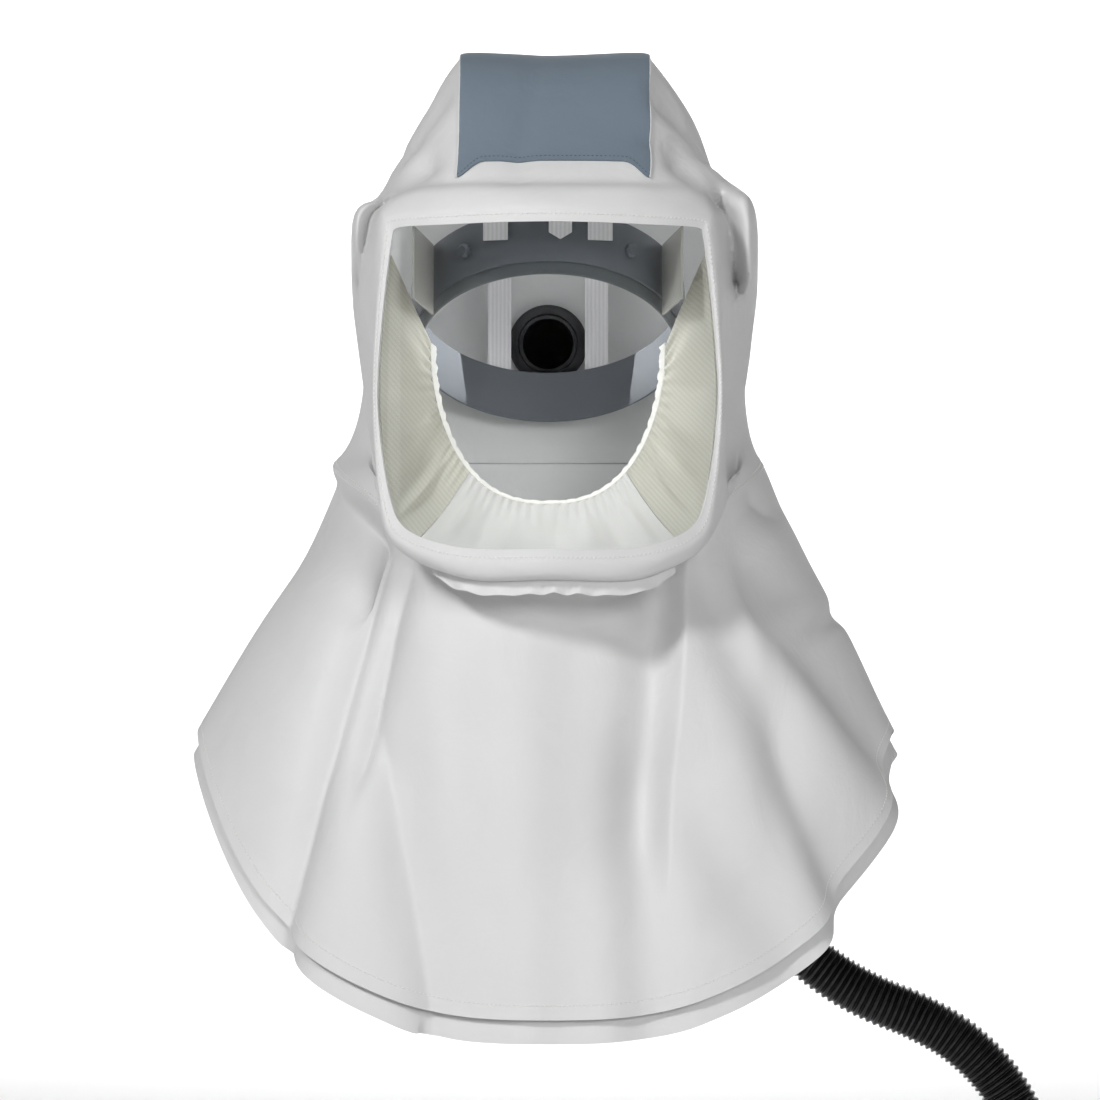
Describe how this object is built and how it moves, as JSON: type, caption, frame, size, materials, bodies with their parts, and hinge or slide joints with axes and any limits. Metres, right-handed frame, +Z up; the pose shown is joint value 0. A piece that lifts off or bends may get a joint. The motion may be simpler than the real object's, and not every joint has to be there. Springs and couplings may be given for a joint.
{
  "type": "respirator hood",
  "caption": "Powered-air respirator hood with a curved clear window, gathered face seal, head harness, double shoulder cape and corrugated breathing hose.",
  "frame": {"origin": "where the crown straps rest on top of the wearer's head", "axes": "+X towards the wearer's left, +Y towards the back of the head with the window facing -Y, +Z up"},
  "size_m": [0.539, 0.3594, 0.8616],
  "materials": {
    "shell_fabric": "smooth coated polyamide, satin",
    "panel_fabric": "fine plain weave, matt",
    "clear_film": "clear curved film, glossy",
    "trim_fabric": "gathered knit edge, matt",
    "twill": "fine twill, matt",
    "mesh": "fine open mesh, matt",
    "band_plastic": "moulded, satin",
    "sweatband_foam": "soft padded strip, matt",
    "webbing": "woven tape, matt",
    "clear_plastic": "translucent moulding",
    "port_plastic": "moulded, satin",
    "hose_rubber": "corrugated, glossy"
  },
  "bodies": {
    "root": {"hood_shell": "shell_fabric", "crown_panel": "panel_fabric", "visor": "clear_film", "chin_frill": "trim_fabric", "outer_cape": "shell_fabric", "inner_cape": "shell_fabric", "seal_side_left": "twill", "seal_side_right": "twill", "seal_chin": "mesh", "seal_ruffle": "trim_fabric", "headband": "band_plastic", "sweatband": "sweatband_foam", "band_stud_left": "band_plastic", "band_stud_right": "band_plastic", "crown_strap_left": "webbing", "crown_strap_right": "webbing", "window_lug_left": "clear_plastic", "window_lug_right": "clear_plastic", "band_tab": "webbing", "port_collar": "port_plastic", "port_nut": "port_plastic", "port_elbow": "port_plastic", "hose_cuff": "hose_rubber", "hose": "hose_rubber", "hose_plug": "port_plastic"}
  },
  "joints": []
}
